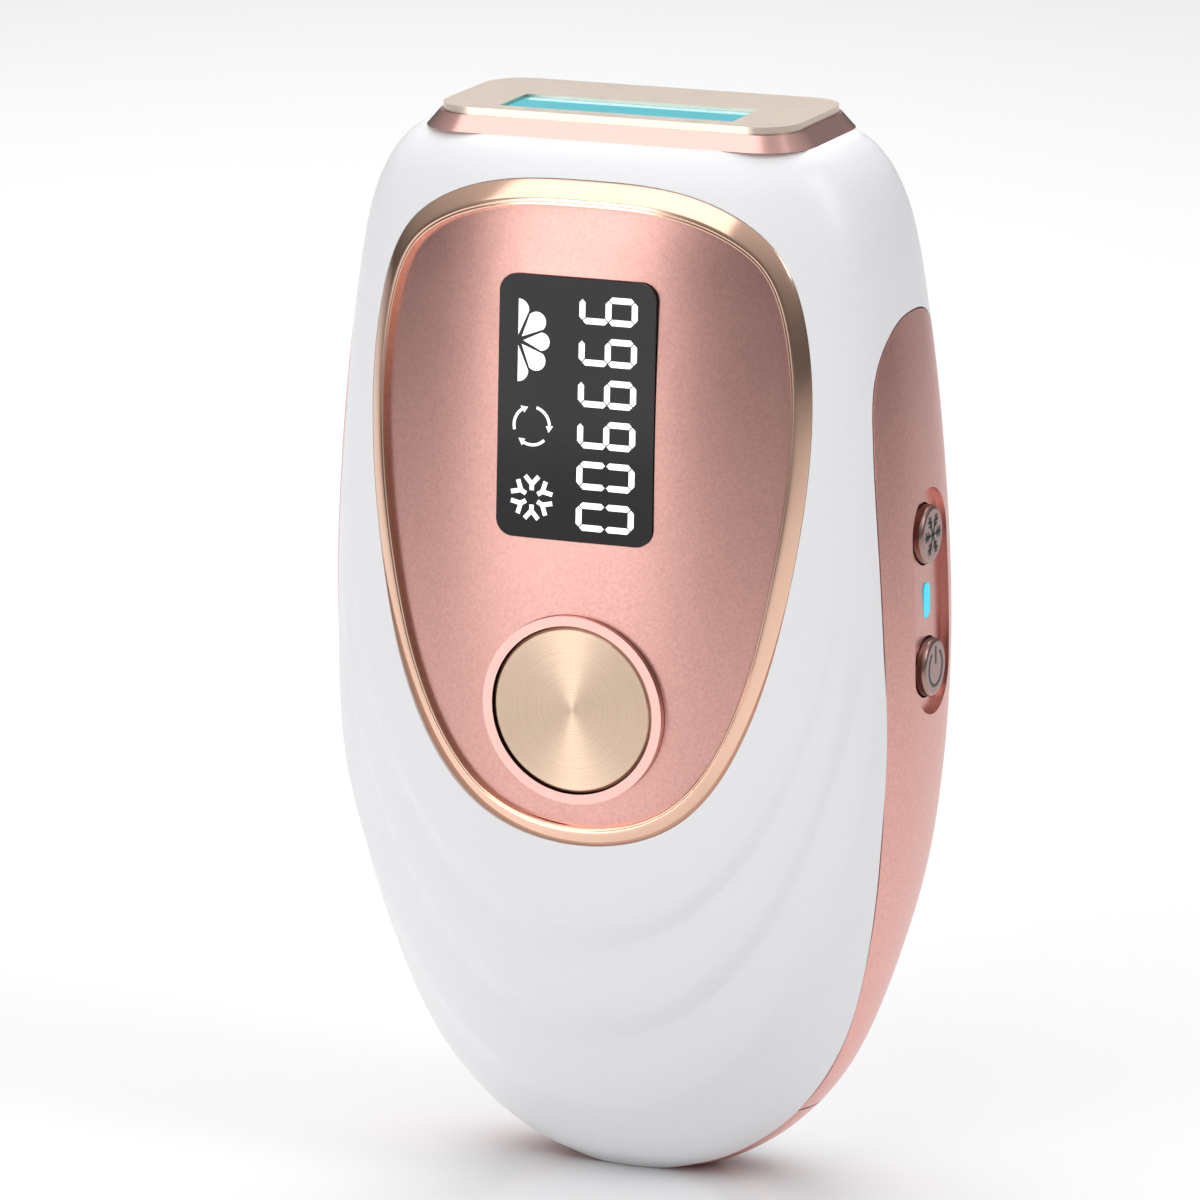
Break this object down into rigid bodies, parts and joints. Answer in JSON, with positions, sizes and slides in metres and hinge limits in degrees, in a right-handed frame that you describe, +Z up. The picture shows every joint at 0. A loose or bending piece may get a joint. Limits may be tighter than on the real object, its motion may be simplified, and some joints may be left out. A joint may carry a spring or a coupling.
{
  "type": "ipl hair remover",
  "caption": "Hand-held egg-shaped pulsed-light hair remover with a window head, a display panel, a round flash button, two side buttons and a barrel inlet.",
  "frame": {"origin": "centre of the small flat at the bottom end that the device stands on", "axes": "+Z up to the treatment window, -Y out of the display panel, +X towards the side with the two small buttons"},
  "size_m": [0.0829, 0.048, 0.1442],
  "materials": {
    "white_gloss_plastic": "satin gloss",
    "rose_gold_coat": "satin metallic coat",
    "rose_gold_polished": "polished rose gold plating",
    "champagne_plated_trim": "polished champagne plating",
    "champagne_satin_plate": "satin",
    "champagne_spun_disc": "spun, concentric grain",
    "button_rose_metal": "satin",
    "window_crystal": "polished",
    "black_lens": "gloss",
    "indicator_cyan": "translucent",
    "clear_glass": "polished",
    "amber_filter_glass": "polished",
    "bright_reflector": "polished",
    "aluminium": "as extruded",
    "steel": "satin",
    "tungsten": "satin",
    "copper_winding": "enamelled",
    "brass_contact": "satin",
    "black_plastic": "matte",
    "grey_plastic": "matte",
    "cream_heatproof_plastic": "matte",
    "white_connector_plastic": "matte",
    "ceramic_white": "matte",
    "board_green": "solder mask",
    "foam_black": "matte",
    "capacitor_sleeve": "sleeve",
    "ferrite": "matte",
    "wire_red": "matte",
    "wire_black": "matte",
    "ribbon_white": "satin"
  },
  "bodies": {
    "device": {"front_shell": "white_gloss_plastic", "back_shell": "white_gloss_plastic", "right_strip": "rose_gold_coat", "left_strip": "rose_gold_coat", "bottom_cap": "rose_gold_coat", "head_collar": "rose_gold_polished", "head_plate": "champagne_satin_plate", "sapphire_window": "window_crystal", "cold_frame": "aluminium", "filter_glass": "amber_filter_glass", "lamp_housing": "cream_heatproof_plastic", "reflector": "bright_reflector", "flash_lamp_tube": "clear_glass", "lamp_electrodes": "tungsten", "cooling_modules": "ceramic_white", "heat_sink": "aluminium", "temperature_sensor": "black_plastic", "panel_trim": "champagne_plated_trim", "front_panel": "rose_gold_coat", "display_lens": "black_lens", "display_gasket": "foam_black", "display_module": "grey_plastic", "display_board": "board_green", "display_screws": "steel", "controller_chip": "black_plastic", "flash_button_ring": "rose_gold_polished", "flash_switch": "black_plastic", "side_switches": "black_plastic", "indicator_light_pipe": "indicator_cyan", "indicator_led": "white_connector_plastic", "side_board": "board_green", "fan_housing": "black_plastic", "fan_cover": "black_plastic", "fan_bearing": "brass_contact", "fan_motor": "copper_winding", "inner_frame": "grey_plastic", "frame_and_board_screws": "steel", "main_board": "board_green", "shell_screws": "steel", "flash_capacitors": "capacitor_sleeve", "flash_transformer": "ferrite", "power_transistor": "black_plastic", "filter_inductor": "copper_winding", "trigger_coil": "copper_winding", "board_connectors": "white_connector_plastic", "lamp_leads": "wire_red", "inlet_leads": "wire_black", "fan_lead": "wire_black", "ribbon_cables": "ribbon_white", "inlet_socket": "black_plastic", "inlet_pin": "brass_contact"},
    "flash_button": {"flash_button_cap": "champagne_spun_disc", "flash_button_carrier": "grey_plastic", "flash_switch_plunger": "white_connector_plastic"},
    "cooling_button_body": {"cooling_button": "button_rose_metal", "cooling_switch_plunger": "white_connector_plastic"},
    "power_button_body": {"power_button": "button_rose_metal", "power_switch_plunger": "white_connector_plastic"},
    "fan_rotor": {"fan_impeller": "black_plastic", "fan_shaft": "steel"}
  },
  "joints": [
    {"name": "flash_button_press", "type": "slide", "parent": "device", "child": "flash_button", "axis": [0, 1, 0], "range_m": [0, 0.0006], "stiffness_N_per_m": 800, "springref_m": -0.0005},
    {"name": "cooling_button_press", "type": "slide", "parent": "device", "child": "cooling_button_body", "axis": [-1, 0, 0], "range_m": [0, 0.0004], "stiffness_N_per_m": 800, "springref_m": -0.0005},
    {"name": "power_button_press", "type": "slide", "parent": "device", "child": "power_button_body", "axis": [-1, 0, 0], "range_m": [0, 0.0004], "stiffness_N_per_m": 800, "springref_m": -0.0005},
    {"name": "fan_spin", "type": "hinge", "parent": "device", "child": "fan_rotor", "pos_m": [0, 0.012, 0.076], "axis": [0, 1, 0], "continuous": true}
  ]
}
